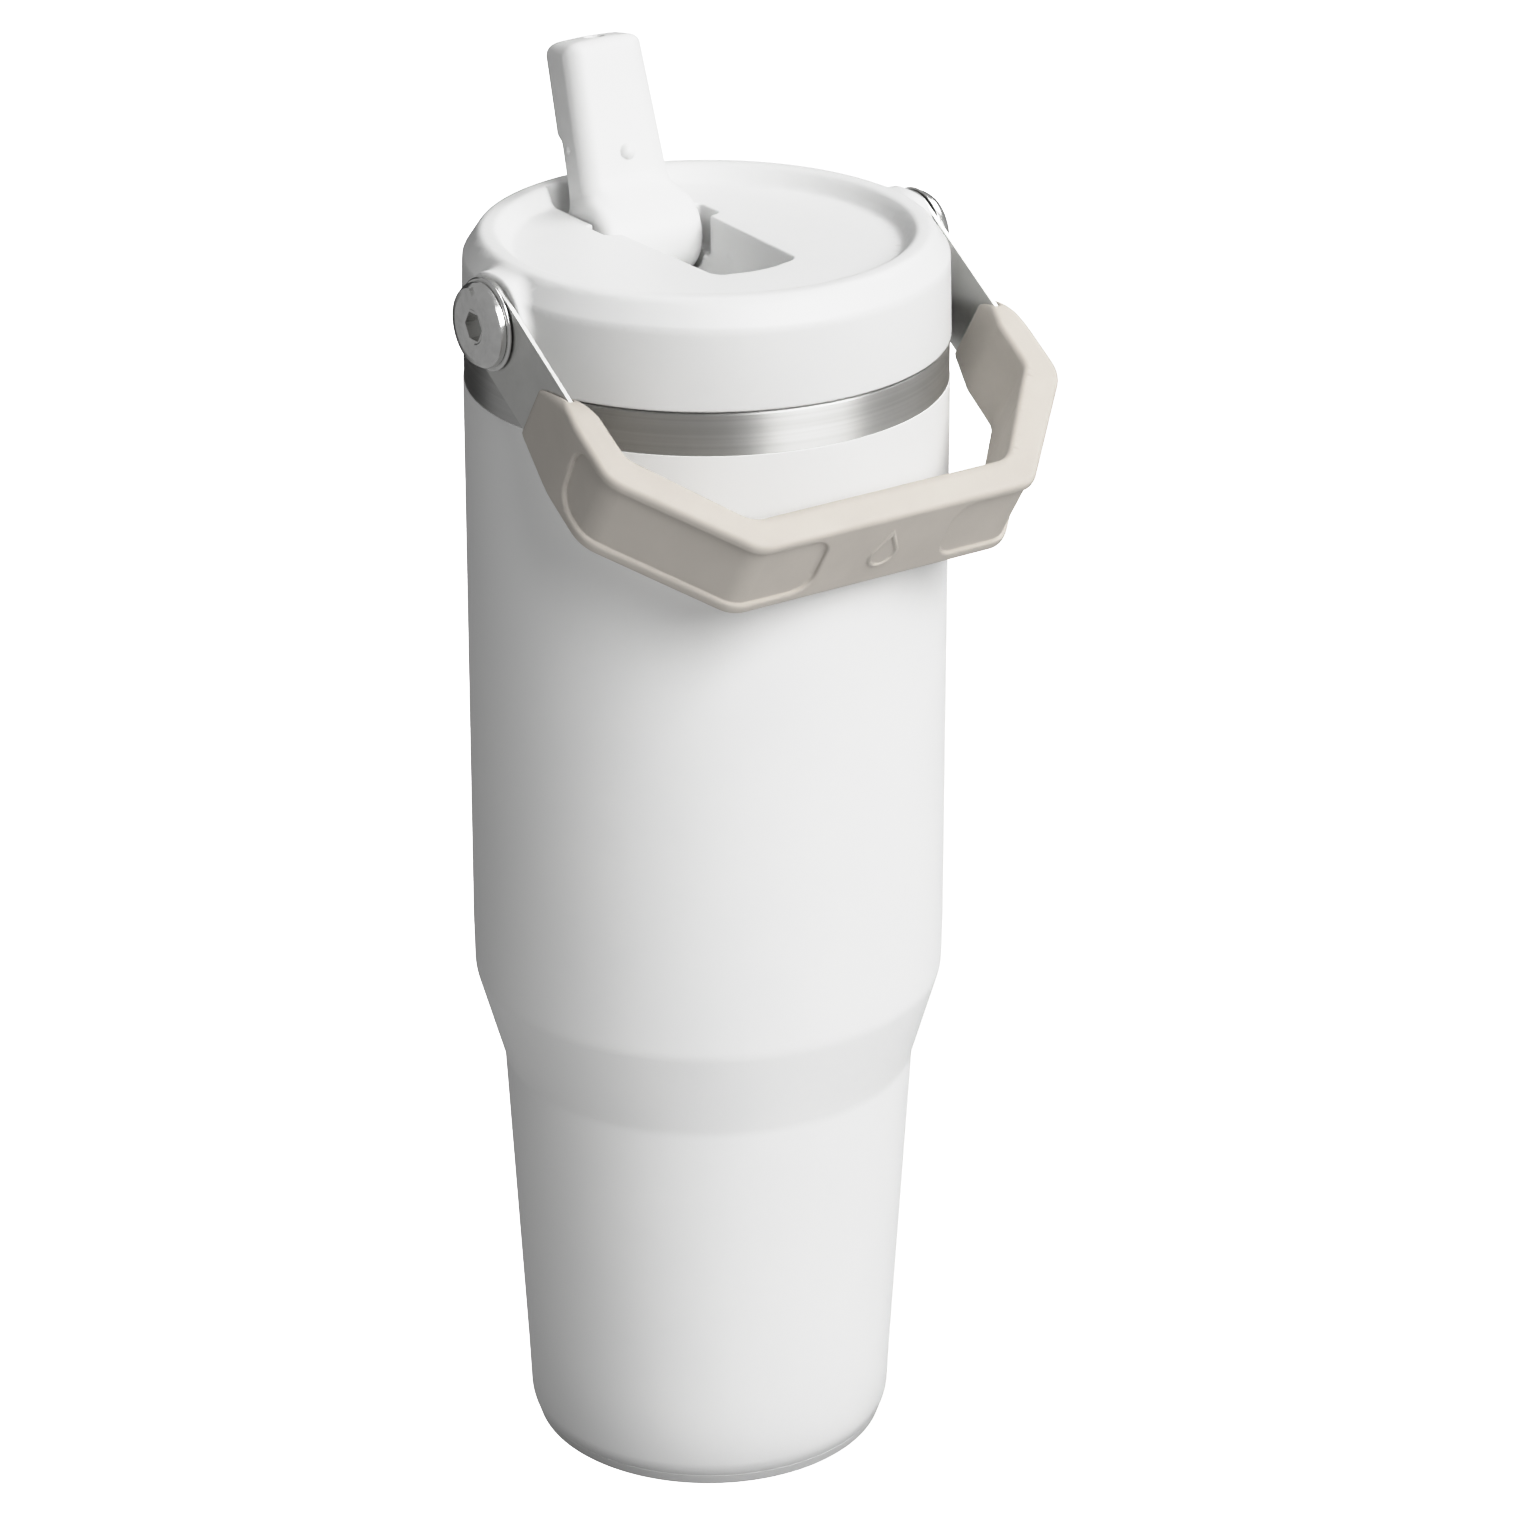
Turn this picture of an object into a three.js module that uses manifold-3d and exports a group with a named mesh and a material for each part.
// Insulated tumbler with a screw lid, a flip-up straw spout and a swinging steel bail handle.
// Millimetres, +Z up. The origin is the centre of the flat base. The handle's pivot axis runs
// along X, the handle hangs towards -Y, and the spout is hinged on the +Y side of the lid.
import * as THREE from 'three';
import { mergeVertices } from 'three/addons/utils/BufferGeometryUtils.js';
import Module from 'manifold-3d';

const wasm = await Module();
wasm.setup();

// ---------------------------------------------------------------- driving dimensions
const GAP = 0.3;                 // air between pieces that touch
const WALL = 0.8;                // steel sheet of both vessel walls

const BASE_R = 33.5;             // flat of the base
const BEVEL_R = 34.9;            // top of the bevel round the base
const BEVEL_Z = 3.6;
const LOWER_R = 35.5;            // slender lower body that fits a cup holder
const LOWER_Z = 14.9;
const SHOULDER_R = 39.0;         // where the shoulder starts
const SHOULDER_Z = 77.7;
const UPPER_R = 44.4;            // where the shoulder ends
const UPPER_Z = 98.4;
const COAT_R = 44.0;             // top of the powder coat
const COAT_Z = 213.9;
const BAND_R = 43.85;            // bare steel band under the lid
const MOUTH_Z = 221.6;
const LINER_R = 39.6;            // inside of the mouth
const LINER_LOW_R = 31.2;        // inside of the vessel near its floor
const LINER_FLOOR_Z = 9.5;

const LID_R = 44.1;
const LID_BOTTOM_Z = 221.9;
const LID_WALL_Z = 236.7;        // top of the straight lid wall
const CREST_Z = 241.5;
const DISC_R = 35.0;             // recessed top of the lid
const DISC_Z = 238.2;
const LID_WALL = 2.2;
const PLUG_R = 38.6;
const PLUG_BOTTOM_Z = 205;
const PLUG_FLANGE_Z = 223.9;

const HUB_Y = 23.6;              // hinge axis of the spout
const HUB_Z = 233.2;
const HUB_R = 8;
const HUB_HALF = 10.5;
const SPOUT_LEAN = THREE.MathUtils.degToRad(17.6);
const SPOUT_LENGTH = 37.3;       // from the hinge axis to the tip
const SPOUT_ROOT_HALF = 9.3;
const SPOUT_TIP_HALF = 8.2;
const SPOUT_FRONT = 2.7;         // front face, ahead of the hinge axis
const SPOUT_BACK = 7.3;          // back face of the mouthpiece
const SPOUT_STEP = 1.2;          // the back is this much thinner near the hub
const SPOUT_STEP_Z = 19;
const BORE_R = 3;                // drinking channel
const BORE_Y = 1.8;              // its centre line, behind the hinge axis
const SLOT_HALF = 9.5;
const SLOT_END_Y = -17.5;
const SLOT_FLOOR_Z = 228.6;
const POCKET_HALF = 12.8;
const POCKET_Y = 13.5;
const POCKET_BACK_Y = 20.5;      // behind this the pocket is only as wide as the notch
const NOTCH_HALF = 10.9;
const NOTCH_FLOOR_Z = 234.5;
const NOTCH_BACK_Y = 36.6;
const HUB_CLEARANCE = 0.6;
const STRAW_Y = HUB_Y + BORE_Y * Math.cos(SPOUT_LEAN) - HUB_R * Math.sin(SPOUT_LEAN);
const STRAW_R = 4;
const STRAW_BORE_R = 3.2;
const STRAW_BOTTOM_Z = 14;

const PIVOT_Z = 231.9;           // handle pivot axis, along X
const EAR_R = 9.2;
const EAR_X = 44.8;
const STRAP_X = 45.1;            // inner face of the steel strap at the pivot
const STRAP_T = 0.9;
const STRAP_W = 16;
const STRAP_HOLE_R = 4.9;
const WASHER_R = 8.5;
const WASHER_T = 1.1;
const HEAD_R = 7.7;
const HEAD_T = 1.7;
const HEAD_CHAMFER = 0.7;
const HEX_DEPTH = 1.3;
const HEX_FLATS = 5;
const SHANK_R = 3;
const INSERT_R = 4.2;
const HANDLE_REST = THREE.MathUtils.degToRad(32);    // below the horizontal, against the body
const GRIP_W = 18.4;

const ROUND = 48;                // segments round the outside
const INNER_ROUND = 36;          // segments round the pieces inside
const SMALL_ROUND = 24;          // segments round pins and screws

// ---------------------------------------------------------------- materials
const material = (color, roughness, metalness) =>
  new THREE.MeshStandardMaterial({ color, roughness, metalness });
const powderCoat = () => material(0xf2f2f0, 0.6, 0);
const steel = () => material(0xb9b9b7, 0.32, 1);
const polishedSteel = () => material(0xa9a9a6, 0.22, 1);
const lidPlastic = () => material(0xf4f4f2, 0.45, 0);
const gripRubber = () => material(0xd9d3c9, 0.7, 0);
const silicone = () => material(0xe4e4e2, 0.8, 0);
const clearPlastic = () => material(0xe6edee, 0.2, 0);
const brass = () => material(0xc2a35c, 0.35, 1);

// ---------------------------------------------------------------- solids
function toSolid(source) {
  const geometry = source.index ? source.clone() : mergeVertices(source.clone());
  geometry.deleteAttribute('normal');
  geometry.deleteAttribute('uv');
  const merged = mergeVertices(geometry, 1e-4);
  const index = merged.index.array;
  const triangles = [];
  for (let i = 0; i < index.length; i += 3) {
    const [a, b, c] = index.slice(i, i + 3);
    if (a !== b && b !== c && c !== a) triangles.push(a, b, c);
  }
  return new wasm.Manifold(new wasm.Mesh({
    numProp: 3,
    vertProperties: Float32Array.from(merged.attributes.position.array),
    triVerts: Uint32Array.from(triangles),
  }));
}

function toGeometry(solid) {
  const mesh = solid.getMesh();
  const geometry = new THREE.BufferGeometry();
  geometry.setAttribute('position', new THREE.BufferAttribute(mesh.vertProperties, 3));
  geometry.setIndex(new THREE.BufferAttribute(mesh.triVerts, 1));
  const flat = geometry.toNonIndexed();
  flat.computeVertexNormals();
  return flat;
}

const union = (first, ...rest) => rest.reduce((sum, solid) => sum.add(solid), first);
const cut = (first, ...rest) => rest.reduce((left, solid) => left.subtract(solid), first);

// Turns an outline of [radius, height] points about Z. It runs anticlockwise, so up the outside.
function revolve(outline, segments = ROUND) {
  const points = outline.map(([r, z]) => new THREE.Vector2(r, z));
  return new THREE.LatheGeometry(points, segments).rotateX(Math.PI / 2);
}

// A closed ring outline, which ends where it starts.
const ring = (outline, segments) => revolve([...outline, outline[0]], segments);

function box(x0, x1, y0, y1, z0, z1) {
  const geometry = new THREE.BoxGeometry(x1 - x0, y1 - y0, z1 - z0);
  return geometry.translate((x0 + x1) / 2, (y0 + y1) / 2, (z0 + z1) / 2);
}

// A rod or cone along X from x0 to x1, about the line through y and z.
function rodX(x0, x1, y, z, r0, r1 = r0, segments = SMALL_ROUND) {
  const geometry = new THREE.CylinderGeometry(r1, r0, x1 - x0, segments);
  return geometry.rotateZ(-Math.PI / 2).translate((x0 + x1) / 2, y, z);
}

// A rod along Z.
function rodZ(z0, z1, x, y, r, segments = SMALL_ROUND) {
  const geometry = new THREE.CylinderGeometry(r, r, z1 - z0, segments);
  return geometry.rotateX(Math.PI / 2).translate(x, y, (z0 + z1) / 2);
}

// A closed outline with each corner rounded to its own radius; corners are [x, y, radius].
function roundedShape(corners) {
  const shape = new THREE.Shape();
  const at = (i) => new THREE.Vector2(...corners[(i + corners.length) % corners.length]);
  corners.forEach(([x, y, radius], i) => {
    const corner = new THREE.Vector2(x, y);
    const before = at(i - 1).sub(corner).setLength(radius).add(corner);
    const after = at(i + 1).sub(corner).setLength(radius).add(corner);
    if (i === 0) shape.moveTo(before.x, before.y);
    else shape.lineTo(before.x, before.y);
    if (radius > 0) shape.quadraticCurveTo(x, y, after.x, after.y);
  });
  shape.closePath();
  return shape;
}

function extrude(shape, depth, bevel = 0, curveSegments = 4) {
  return new THREE.ExtrudeGeometry(shape, {
    depth: depth - 2 * bevel,
    bevelEnabled: bevel > 0,
    bevelThickness: bevel,
    bevelSize: bevel,
    bevelOffset: -bevel,
    bevelSegments: 2,
    curveSegments,
  }).translate(0, 0, bevel);
}

const flip = (corners) => corners.map(([x, y, radius]) => [-x, y, radius]).reverse();

// ---------------------------------------------------------------- the scene graph
const tumbler = new THREE.Group();
const lid = new THREE.Group();
const spout = new THREE.Group();
const handle = new THREE.Group();
spout.position.set(0, HUB_Y, HUB_Z);
spout.rotation.x = -SPOUT_LEAN;
handle.position.set(0, 0, PIVOT_Z);
handle.rotation.x = HANDLE_REST;
lid.add(spout, handle);
tumbler.add(lid);

function place(parent, name, geometry, finish) {
  const mesh = new THREE.Mesh(geometry, finish);
  mesh.name = name;
  parent.add(mesh);
  return mesh;
}

const SIDES = [['left', -1], ['right', 1]];

// A piece drawn for the +X side, turned half a turn about Z for the -X side.
function placePair(parent, name, geometry, finish) {
  for (const [side, sign] of SIDES) {
    const mesh = place(parent, `${name}_${side}`, geometry.clone(), finish());
    mesh.rotation.z = sign > 0 ? 0 : Math.PI;
  }
}

// ---------------------------------------------------------------- vessel
function outerShell() {
  const outside = [
    [BEVEL_R + 0.05, BEVEL_Z + GAP],
    [LOWER_R, LOWER_Z],
    [SHOULDER_R, SHOULDER_Z],
    [SHOULDER_R + 0.5, SHOULDER_Z + 2.4],
    [UPPER_R - 0.8, UPPER_Z - 3],
    [UPPER_R - 0.2, UPPER_Z - 0.6],
    [UPPER_R, UPPER_Z + 1.6],
    [COAT_R, COAT_Z],
    [BAND_R, COAT_Z + 0.3],
    [BAND_R, MOUTH_Z - 1.2],
    [BAND_R - 1.2, MOUTH_Z],
  ];
  const lip = [
    [LINER_R + WALL + GAP, MOUTH_Z],
    [LINER_R + WALL + GAP, MOUTH_Z - WALL],
    [BAND_R - 1.6, MOUTH_Z - WALL],
    [BAND_R - WALL, MOUTH_Z - 1.6],
  ];
  const inside = [
    [UPPER_R - WALL, UPPER_Z + 1.6],
    [UPPER_R - 0.8 - WALL, UPPER_Z - 3],
    [SHOULDER_R - WALL, SHOULDER_Z + 1],
    [LOWER_R - WALL, LOWER_Z],
    [BEVEL_R - WALL, BEVEL_Z + GAP],
  ];
  return ring([...outside, ...lip, ...inside]);
}

function innerLiner() {
  const floor = LINER_FLOOR_Z;
  const wet = [
    [0, floor],
    [LINER_LOW_R - 7, floor],
    [LINER_LOW_R - 2, floor + 2],
    [LINER_LOW_R, floor + 7],
    [SHOULDER_R - 4.5, SHOULDER_Z],
    [LINER_R, UPPER_Z + 2],
    [LINER_R, MOUTH_Z],
  ];
  const dry = [
    [0, floor - WALL],
    [LINER_LOW_R - 6.7, floor - WALL],
    [LINER_LOW_R - 1.4, floor + 1.4],
    [LINER_LOW_R + WALL, floor + 6.8],
    [SHOULDER_R - 4.5 + WALL, SHOULDER_Z - 0.2],
    [LINER_R + WALL, UPPER_Z + 1.8],
    [LINER_R + WALL, MOUTH_Z],
  ];
  return revolve([...dry, ...wet.reverse()], INNER_ROUND);
}

function outerBottom() {
  const r = BEVEL_R - WALL - GAP;
  return ring([
    [1.8, 4.3], [r - 2.4, 4.3], [r - 0.8, 5.2], [r, 7.2], [r - 0.8, 7.2], [r - 1.5, 5.9],
    [r - 2.8, 5.1], [1.8, 5.1],
  ], INNER_ROUND);
}

function baseCap() {
  return revolve([
    [0, 0], [27, 0], [27.4, 0.5], [28.6, 0.5], [29, 0], [BASE_R, 0], [BASE_R + 0.8, 0.9],
    [BEVEL_R, BEVEL_Z], [BEVEL_R - 1, BEVEL_Z], [BASE_R - 0.4, 1.4], [0, 1.4],
  ]);
}

const vacuumSeal = () => revolve([[0, 3.2], [3.2, 3.2], [3, 4], [1.4, 4], [1.4, 5.6], [0, 5.6]], 16);
const getterPellet = () => rodZ(6.4, LINER_FLOOR_Z - WALL - GAP, 12, 0, 5, 20);

place(tumbler, 'outer_shell', outerShell(), powderCoat());
place(tumbler, 'inner_liner', innerLiner(), steel());
place(tumbler, 'outer_bottom', outerBottom(), steel());
place(tumbler, 'base_cap', baseCap(), powderCoat());
place(tumbler, 'vacuum_seal', vacuumSeal(), polishedSteel());
place(tumbler, 'getter_pellet', getterPellet(), steel());

// ---------------------------------------------------------------- lid
function lidOutside() {
  const dome = revolve([
    [0, LID_BOTTOM_Z],
    [LID_R - 0.3, LID_BOTTOM_Z],
    [LID_R, LID_BOTTOM_Z + 0.4],
    [LID_R - 0.3, LID_WALL_Z - 0.5],
    [LID_R - 0.8, LID_WALL_Z + 0.6],
    [LID_R - 2.8, CREST_Z - 0.9],
    [LID_R - 3.9, CREST_Z - 0.2],
    [LID_R - 5.2, CREST_Z],
    [LID_R - 6.4, CREST_Z - 0.3],
    [DISC_R + 2.1, CREST_Z - 0.9],
    [DISC_R, DISC_Z + 0.3],
    [DISC_R - 0.8, DISC_Z],
    [0, DISC_Z],
  ]);
  const slab = box(-EAR_X, EAR_X, -20, 20, LID_BOTTOM_Z, CREST_Z - 0.1);
  const ears = SIDES.map(([, sign]) => {
    const straight = rodX(38, EAR_X, 0, PIVOT_Z, EAR_R, EAR_R, 36);
    const flare = rodX(38.5, 43.8, 0, PIVOT_Z, EAR_R + 3.2, EAR_R, 36);
    const ear = union(toSolid(straight), toSolid(flare)).intersect(toSolid(slab));
    return sign > 0 ? ear : ear.rotate([0, 0, 180]);
  });
  return union(toSolid(dome), ...ears);
}

// The space inside the cap, with the tub that the spout folds into left standing in it.
function lidHollow() {
  const hollow = toSolid(revolve([
    [0, LID_BOTTOM_Z - 1],
    [LID_R - LID_WALL, LID_BOTTOM_Z - 1],
    [LID_R - LID_WALL, LID_WALL_Z - 1],
    [LID_R - 4, CREST_Z - 3.1],
    [LID_R - 6, CREST_Z - 2.7],
    [DISC_R + 0.6, DISC_Z - LID_WALL],
    [0, DISC_Z - LID_WALL],
  ], INNER_ROUND));
  const wall = 1.6;
  const half = SLOT_HALF + wall;
  const roof = DISC_Z - 1;
  const tub = union(
    toSolid(box(-half, half, SLOT_END_Y - wall, POCKET_Y + 1, SLOT_FLOOR_Z - wall, roof)),
    toSolid(box(-POCKET_HALF - wall, POCKET_HALF + wall, POCKET_Y - wall, 34.5, 230, roof)),
    toSolid(rodX(-POCKET_HALF - wall, POCKET_HALF + wall, HUB_Y, HUB_Z, HUB_R + HUB_CLEARANCE + wall)),
    toSolid(box(-NOTCH_HALF - wall, NOTCH_HALF + wall, 33, NOTCH_BACK_Y + wall, NOTCH_FLOOR_Z - wall, roof)),
    toSolid(rodX(-17.8, 17.8, HUB_Y, HUB_Z, 4.2)),
    toSolid(rodZ(221.6, 230, 0, STRAW_Y, 8.6)),
  );
  const bosses = SIDES.map(([, sign]) => {
    const boss = toSolid(rodX(34.8, EAR_X, 0, PIVOT_Z, EAR_R - 1.6));
    const above = toSolid(box(30, 50, -20, 20, PLUG_FLANGE_Z + 2.1, CREST_Z));
    return sign > 0 ? boss.intersect(above) : boss.intersect(above).rotate([0, 0, 180]);
  });
  return cut(hollow, tub, ...bosses);
}

function slotOutline() {
  const tip = [SLOT_HALF - 0.7, SLOT_END_Y + 1.6];
  return roundedShape([
    [SLOT_HALF, POCKET_Y + 2, 0],
    [-SLOT_HALF, POCKET_Y + 2, 0],
    [-tip[0], tip[1], 3.4],
    [0, SLOT_END_Y - 0.4, 5],
    [tip[0], tip[1], 3.4],
  ]);
}

function spoutSlot() {
  const high = 260;
  const bed = extrude(slotOutline(), high - SLOT_FLOOR_Z).translate(0, 0, SLOT_FLOOR_Z);
  return union(
    toSolid(bed),
    toSolid(box(-POCKET_HALF, POCKET_HALF, POCKET_Y, POCKET_BACK_Y, 231.5, high)),
    toSolid(box(-NOTCH_HALF, NOTCH_HALF, POCKET_BACK_Y - 1, 33, 231.5, high)),
    toSolid(rodX(-NOTCH_HALF, NOTCH_HALF, HUB_Y, HUB_Z, HUB_R + HUB_CLEARANCE, undefined, 40)),
    toSolid(box(-NOTCH_HALF, NOTCH_HALF, 32, NOTCH_BACK_Y, NOTCH_FLOOR_Z, high)),
  );
}

function lidCap() {
  const holes = SIDES.map(([, sign]) => {
    const insert = toSolid(rodX(36.4, 50, 0, PIVOT_Z, INSERT_R + GAP));
    return sign > 0 ? insert : insert.rotate([0, 0, 180]);
  });
  return toGeometry(cut(
    lidOutside(),
    lidHollow(),
    spoutSlot(),
    toSolid(rodX(-16.9, 16.9, HUB_Y, HUB_Z, 1.9)),
    toSolid(rodZ(215, HUB_Z, 0, STRAW_Y, 6.9)),
    toSolid(rodZ(220, 230, 0, -11, 0.9, 12)),
    ...holes,
  ));
}

// One start of the screw thread that holds the lid in the neck.
function threadStart(angle) {
  class Helix extends THREE.Curve {
    getPoint(t, target = new THREE.Vector3()) {
      const turn = angle + t * Math.PI * 1.1;
      const r = PLUG_R - 0.1;
      return target.set(r * Math.cos(turn), r * Math.sin(turn), 209.5 + 6 * t);
    }
  }
  const rib = new THREE.Shape().absarc(0, 0, 0.75, 0, 2 * Math.PI);
  const options = { steps: 14, curveSegments: 3, extrudePath: new Helix(), bevelEnabled: false };
  return toSolid(new THREE.ExtrudeGeometry(rib, options));
}

function lidPlug() {
  const cup = toSolid(ring([
    [8, PLUG_BOTTOM_Z], [PLUG_R - 1, PLUG_BOTTOM_Z], [PLUG_R, PLUG_BOTTOM_Z + 1],
    [PLUG_R, PLUG_FLANGE_Z], [LID_R - LID_WALL - GAP, PLUG_FLANGE_Z],
    [LID_R - LID_WALL - GAP, PLUG_FLANGE_Z + 1.8], [PLUG_R - 2, PLUG_FLANGE_Z + 1.8],
    [PLUG_R - 2, PLUG_BOTTOM_Z + 2], [8, PLUG_BOTTOM_Z + 2],
  ], INNER_ROUND));
  const floor = toSolid(rodZ(PLUG_BOTTOM_Z, PLUG_BOTTOM_Z + 2, 0, 0, 9, INNER_ROUND));
  const tower = toSolid(rodZ(199, 219.2, 0, STRAW_Y, 6));
  const body = union(cup, floor, tower, ...[0, 2, 4].map((k) => threadStart((k * Math.PI) / 3)));
  return toGeometry(cut(
    body,
    toSolid(rodZ(190, 214, 0, STRAW_Y, STRAW_R + GAP)),
    toSolid(rodZ(190, 225, 0, STRAW_Y, STRAW_BORE_R)),
    toSolid(rodZ(200, 210, 0, -20, 2)),
  ));
}

function hubSeal() {
  const pad = toSolid(rodZ(219.5, 231, 0, STRAW_Y, 6.5));
  return toGeometry(cut(
    pad,
    toSolid(rodX(-20, 20, HUB_Y, HUB_Z, HUB_R + GAP, undefined, 40)),
    toSolid(rodZ(215, 235, 0, STRAW_Y, STRAW_BORE_R)),
  ));
}

function strawTube() {
  const top = 213.7;
  return ring([
    [STRAW_BORE_R, STRAW_BOTTOM_Z], [STRAW_R, STRAW_BOTTOM_Z], [STRAW_R, top], [STRAW_BORE_R, top],
  ], 20).translate(0, STRAW_Y, 0);
}

function ventValve() {
  const z = PLUG_BOTTOM_Z;
  return revolve([
    [0, z - 1.8], [4.4, z - 1.2], [4.6, z - 0.3], [1.5, z - 0.3], [1.5, z + 2.4], [2.6, z + 2.6],
    [1.4, z + 4.6], [0, z + 4.8],
  ], 20).translate(0, -20, 0);
}

place(lid, 'lid_cap', lidCap(), lidPlastic());
place(lid, 'lid_plug', lidPlug(), lidPlastic());
place(lid, 'lid_gasket', ring([
  [39.1, MOUTH_Z + GAP], [41.5, MOUTH_Z + GAP], [41.5, PLUG_FLANGE_Z - GAP], [39.1, PLUG_FLANGE_Z - GAP],
], INNER_ROUND), silicone());
place(lid, 'hub_seal', hubSeal(), silicone());
place(lid, 'straw_tube', strawTube(), clearPlastic());
place(lid, 'vent_valve', ventValve(), silicone());
for (const [side, sign] of SIDES) {
  const pin = rodX(-5.15, 5.15, 0, 0, 1.6, undefined, 16);
  place(lid, `spout_pin_${side}`, pin, polishedSteel()).position.set(sign * 11.45, HUB_Y, HUB_Z);
}

// ---------------------------------------------------------------- pivots
const WASHER_X = STRAP_X + STRAP_T + GAP;
const HEAD_X = WASHER_X + WASHER_T + 0.1;

function pivotScrew() {
  const outline = [
    [0, 38], [SHANK_R - 0.5, 38], [SHANK_R, 38.6], [SHANK_R, HEAD_X], [HEAD_R, HEAD_X],
    [HEAD_R, HEAD_X + 0.5], [HEAD_R - HEAD_CHAMFER, HEAD_X + HEAD_T], [0, HEAD_X + HEAD_T],
  ];
  const screw = toSolid(revolve(outline, 28));
  const hexagon = toSolid(new THREE.CylinderGeometry(
    HEX_FLATS / Math.sqrt(3), HEX_FLATS / Math.sqrt(3), 2 * HEX_DEPTH, 6,
  ).rotateX(Math.PI / 2).translate(0, 0, HEAD_X + HEAD_T));
  return toGeometry(screw.subtract(hexagon)).rotateY(Math.PI / 2).translate(0, 0, PIVOT_Z);
}

// A washer-like ring about the pivot axis, from x0 to x1.
function pivotRing(x0, x1, inner, outer, segments = 24) {
  return ring([[inner, x0], [outer, x0], [outer, x1], [inner, x1]], segments)
    .rotateY(Math.PI / 2).translate(0, 0, PIVOT_Z);
}

placePair(lid, 'threaded_insert', pivotRing(36.7, EAR_X - 0.2, SHANK_R + GAP, INSERT_R), brass);
placePair(lid, 'pivot_screw', pivotScrew(), polishedSteel);
const washer = pivotRing(WASHER_X, WASHER_X + WASHER_T, SHANK_R + GAP, WASHER_R);
placePair(lid, 'pivot_washer', washer, polishedSteel);

// ---------------------------------------------------------------- spout
// In the spout's own frame the hinge axis is X through the origin and the tip points along +Z.
function spoutBody() {
  const front = roundedShape([
    [-SPOUT_ROOT_HALF, 0, 0],
    [SPOUT_ROOT_HALF, 0, 0],
    [SPOUT_TIP_HALF, SPOUT_LENGTH, 3],
    [-SPOUT_TIP_HALF, SPOUT_LENGTH, 3],
  ]);
  const depth = SPOUT_FRONT + SPOUT_BACK;
  const blade = extrude(front, depth, 1.6).rotateX(Math.PI / 2).translate(0, SPOUT_BACK, 0);
  const foot = box(-20, 20, -20, 20, -20, 4);
  const step = box(-20, 20, SPOUT_BACK - SPOUT_STEP, 20, -20, SPOUT_STEP_Z);
  const body = union(
    cut(toSolid(blade), toSolid(foot), toSolid(step)),
    toSolid(rodX(-HUB_HALF, HUB_HALF, 0, 0, HUB_R, undefined, 40)),
    toSolid(new THREE.SphereGeometry(1.4, 12, 8).translate(0, -SPOUT_FRONT + 0.3, 15.5)),
  );
  return toGeometry(cut(
    body,
    toSolid(rodZ(-20, 60, 0, BORE_Y, BORE_R, 24)),
    toSolid(rodX(5.8, 20, 0, 0, 1.9, undefined, 16)),
    toSolid(rodX(-20, -5.8, 0, 0, 1.9, undefined, 16)),
  ));
}

place(spout, 'spout_body', spoutBody(), lidPlastic());

// ---------------------------------------------------------------- handle
// In the handle's own frame the pivot axis is X through the origin, the arms run along -Y, and
// the strap's width runs along Z.
const STRAP_OUT = STRAP_X + STRAP_T;

function strapOutline(grow = 0, top = 9) {
  const outer = [
    [STRAP_OUT + grow, top, 0], [STRAP_OUT + grow, -42.6, 3 + grow],
    [28.1 + grow, -62.4 - grow, 4 + grow],
  ];
  const inner = [
    [26.9 - grow, -61 + grow, 3], [STRAP_X - grow, -41.7, 2], [STRAP_X - grow, top, 0],
  ];
  return roundedShape([...outer, ...flip(outer), ...flip(inner), ...inner]);
}

function handleStrap() {
  const strip = toSolid(extrude(strapOutline(), STRAP_W).translate(0, 0, -STRAP_W / 2));
  const envelope = union(
    toSolid(box(-60, 60, -80, 0, -20, 20)),
    toSolid(rodX(-60, 60, 0, 0, STRAP_W / 2, undefined, 36)),
  );
  return toGeometry(strip.intersect(envelope).subtract(toSolid(rodX(-60, 60, 0, 0, STRAP_HOLE_R))));
}

function handleGrip() {
  const outer = [[46.7, -17.8, 0.8], [48.4, -30, 5], [48.4, -43.9, 6], [28.9, -65, 6]];
  const inner = [
    [27, -58.5, 5], [42.4, -40.2, 4], [42.4, -30.7, 3], [44.6, -24.2, 1.5], [44.6, -17.8, 0.8],
  ];
  const outline = roundedShape([...outer, ...flip(outer), ...flip(inner), ...inner]);
  const body = toSolid(extrude(outline, GRIP_W).translate(0, 0, -GRIP_W / 2));
  const channelWidth = STRAP_W + 2 * GAP;
  const channel = toSolid(extrude(strapOutline(GAP), channelWidth).translate(0, 0, -channelWidth / 2));
  const mouths = SIDES.map(([, sign]) => {
    const mouth = toSolid(box(STRAP_X - GAP, STRAP_OUT + GAP, -26, 0, -20, 20));
    return sign > 0 ? mouth : mouth.mirror([1, 0, 0]);
  });
  return toGeometry(cut(body, channel, ...mouths));
}

place(handle, 'handle_strap', handleStrap(), steel());
place(handle, 'handle_grip', handleGrip(), gripRubber());
for (const [side, sign] of SIDES) {
  const near = STRAP_X + 0.05;
  const far = STRAP_OUT - 0.05;
  const bush = ring([[3.3, near], [4.6, near], [4.6, far], [3.3, far]], 20);
  place(handle, `pivot_bush_${side}`, bush.rotateY((sign * Math.PI) / 2), silicone());
}

export default tumbler;
